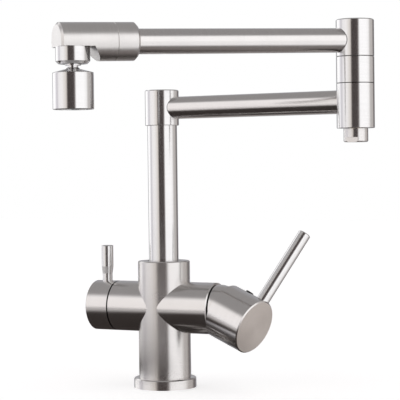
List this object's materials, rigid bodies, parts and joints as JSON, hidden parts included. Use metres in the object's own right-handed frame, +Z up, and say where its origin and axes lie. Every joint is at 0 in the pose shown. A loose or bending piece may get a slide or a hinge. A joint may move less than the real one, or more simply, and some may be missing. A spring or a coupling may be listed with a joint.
{
  "type": "pot filler kitchen tap",
  "caption": "Deck-mounted kitchen tap with a folding pot-filler arm, a side mixer lever, a filtered-water lever and a ball-jointed aerator.",
  "frame": {"origin": "centre of the base ring's underside, on the worktop, at the mouth of the stud hole", "axes": "+Z up along the body and riser, +X along the mixer branch, -X along the filter branch, -Y towards the user"},
  "size_m": [0.2968, 0.2727, 0.341],
  "materials": {
    "brushed_nickel": "brushed",
    "polished_nickel": "fine satin, nearly polished",
    "seal_rubber": "matte",
    "white_plastic": "matte",
    "black_plastic": "matte",
    "brass": "machined",
    "index_plastic": "satin"
  },
  "bodies": {
    "body": {"base_ring": "brushed_nickel", "base_gasket": "seal_rubber", "inlet_block": "brass", "block_seal": "seal_rubber", "body": "brushed_nickel", "cartridge_case": "white_plastic", "cartridge_seals": "seal_rubber", "cartridge_nut": "brass", "bonnet": "brushed_nickel", "filter_headwork": "brass", "headwork_seal": "seal_rubber", "guide_nut": "white_plastic", "lower_thrust_washer": "white_plastic", "upper_thrust_washer": "white_plastic"},
    "riser": {"riser_foot": "brass", "riser_rings": "seal_rubber", "riser_tube": "polished_nickel", "post_head": "polished_nickel", "lower_arm": "brushed_nickel", "elbow_lower": "polished_nickel", "elbow_middle": "polished_nickel", "elbow_washer": "white_plastic"},
    "upper_arm": {"elbow_upper": "polished_nickel", "elbow_spindle": "brass", "elbow_rings": "seal_rubber", "elbow_end_nut": "brushed_nickel", "upper_arm": "brushed_nickel", "spout_collar": "brushed_nickel", "spout_head": "brushed_nickel", "outlet_adapter": "polished_nickel", "stem_nut": "brass"},
    "ball_stem": {"ball_stem": "polished_nickel"},
    "aerator": {"aerator_housing": "polished_nickel", "ball_seat": "black_plastic", "aerator_insert": "white_plastic"},
    "mixer_carrier": {"cartridge_carrier": "white_plastic", "pivot_pin": "brass"},
    "mixer_handle": {"cartridge_stem": "brass", "mixer_cap": "brushed_nickel", "mixer_lever": "polished_nickel", "handle_grub_screw": "polished_nickel", "index_plug": "index_plastic"},
    "filter_knob": {"filter_spindle": "brass", "filter_knob": "brushed_nickel", "filter_lever": "polished_nickel"}
  },
  "joints": [
    {"name": "riser_swivel", "type": "hinge", "parent": "body", "child": "riser", "pos_m": [0, 0, 0.1], "axis": [0, 0, 1], "continuous": true},
    {"name": "elbow_swivel", "type": "hinge", "parent": "riser", "child": "upper_arm", "pos_m": [0.205, -0.01434, 0.3079], "axis": [0, 0, 1], "continuous": true},
    {"name": "aerator_spin", "type": "hinge", "parent": "upper_arm", "child": "ball_stem", "pos_m": [0.03316, -0.21202, 0.29806], "axis": [0, 0, 1], "continuous": true},
    {"name": "aerator_tilt", "type": "hinge", "parent": "ball_stem", "child": "aerator", "pos_m": [0.03316, -0.21202, 0.28866], "axis": [0.7547, -0.6561, 0], "range_deg": [-15, 15]},
    {"name": "mixer_turn", "type": "hinge", "parent": "body", "child": "mixer_carrier", "pos_m": [0.06, 0, 0.077], "axis": [1, 0, 0], "range_deg": [-18.2, 71.8]},
    {"name": "mixer_lift", "type": "hinge", "parent": "mixer_carrier", "child": "mixer_handle", "pos_m": [0.06, 0, 0.077], "axis": [0, -0.8926, 0.4509], "range_deg": [0, 23.5]},
    {"name": "filter_turn", "type": "hinge", "parent": "body", "child": "filter_knob", "pos_m": [-0.0632, 0, 0.077], "axis": [1, 0, 0], "range_deg": [0, 90]}
  ]
}
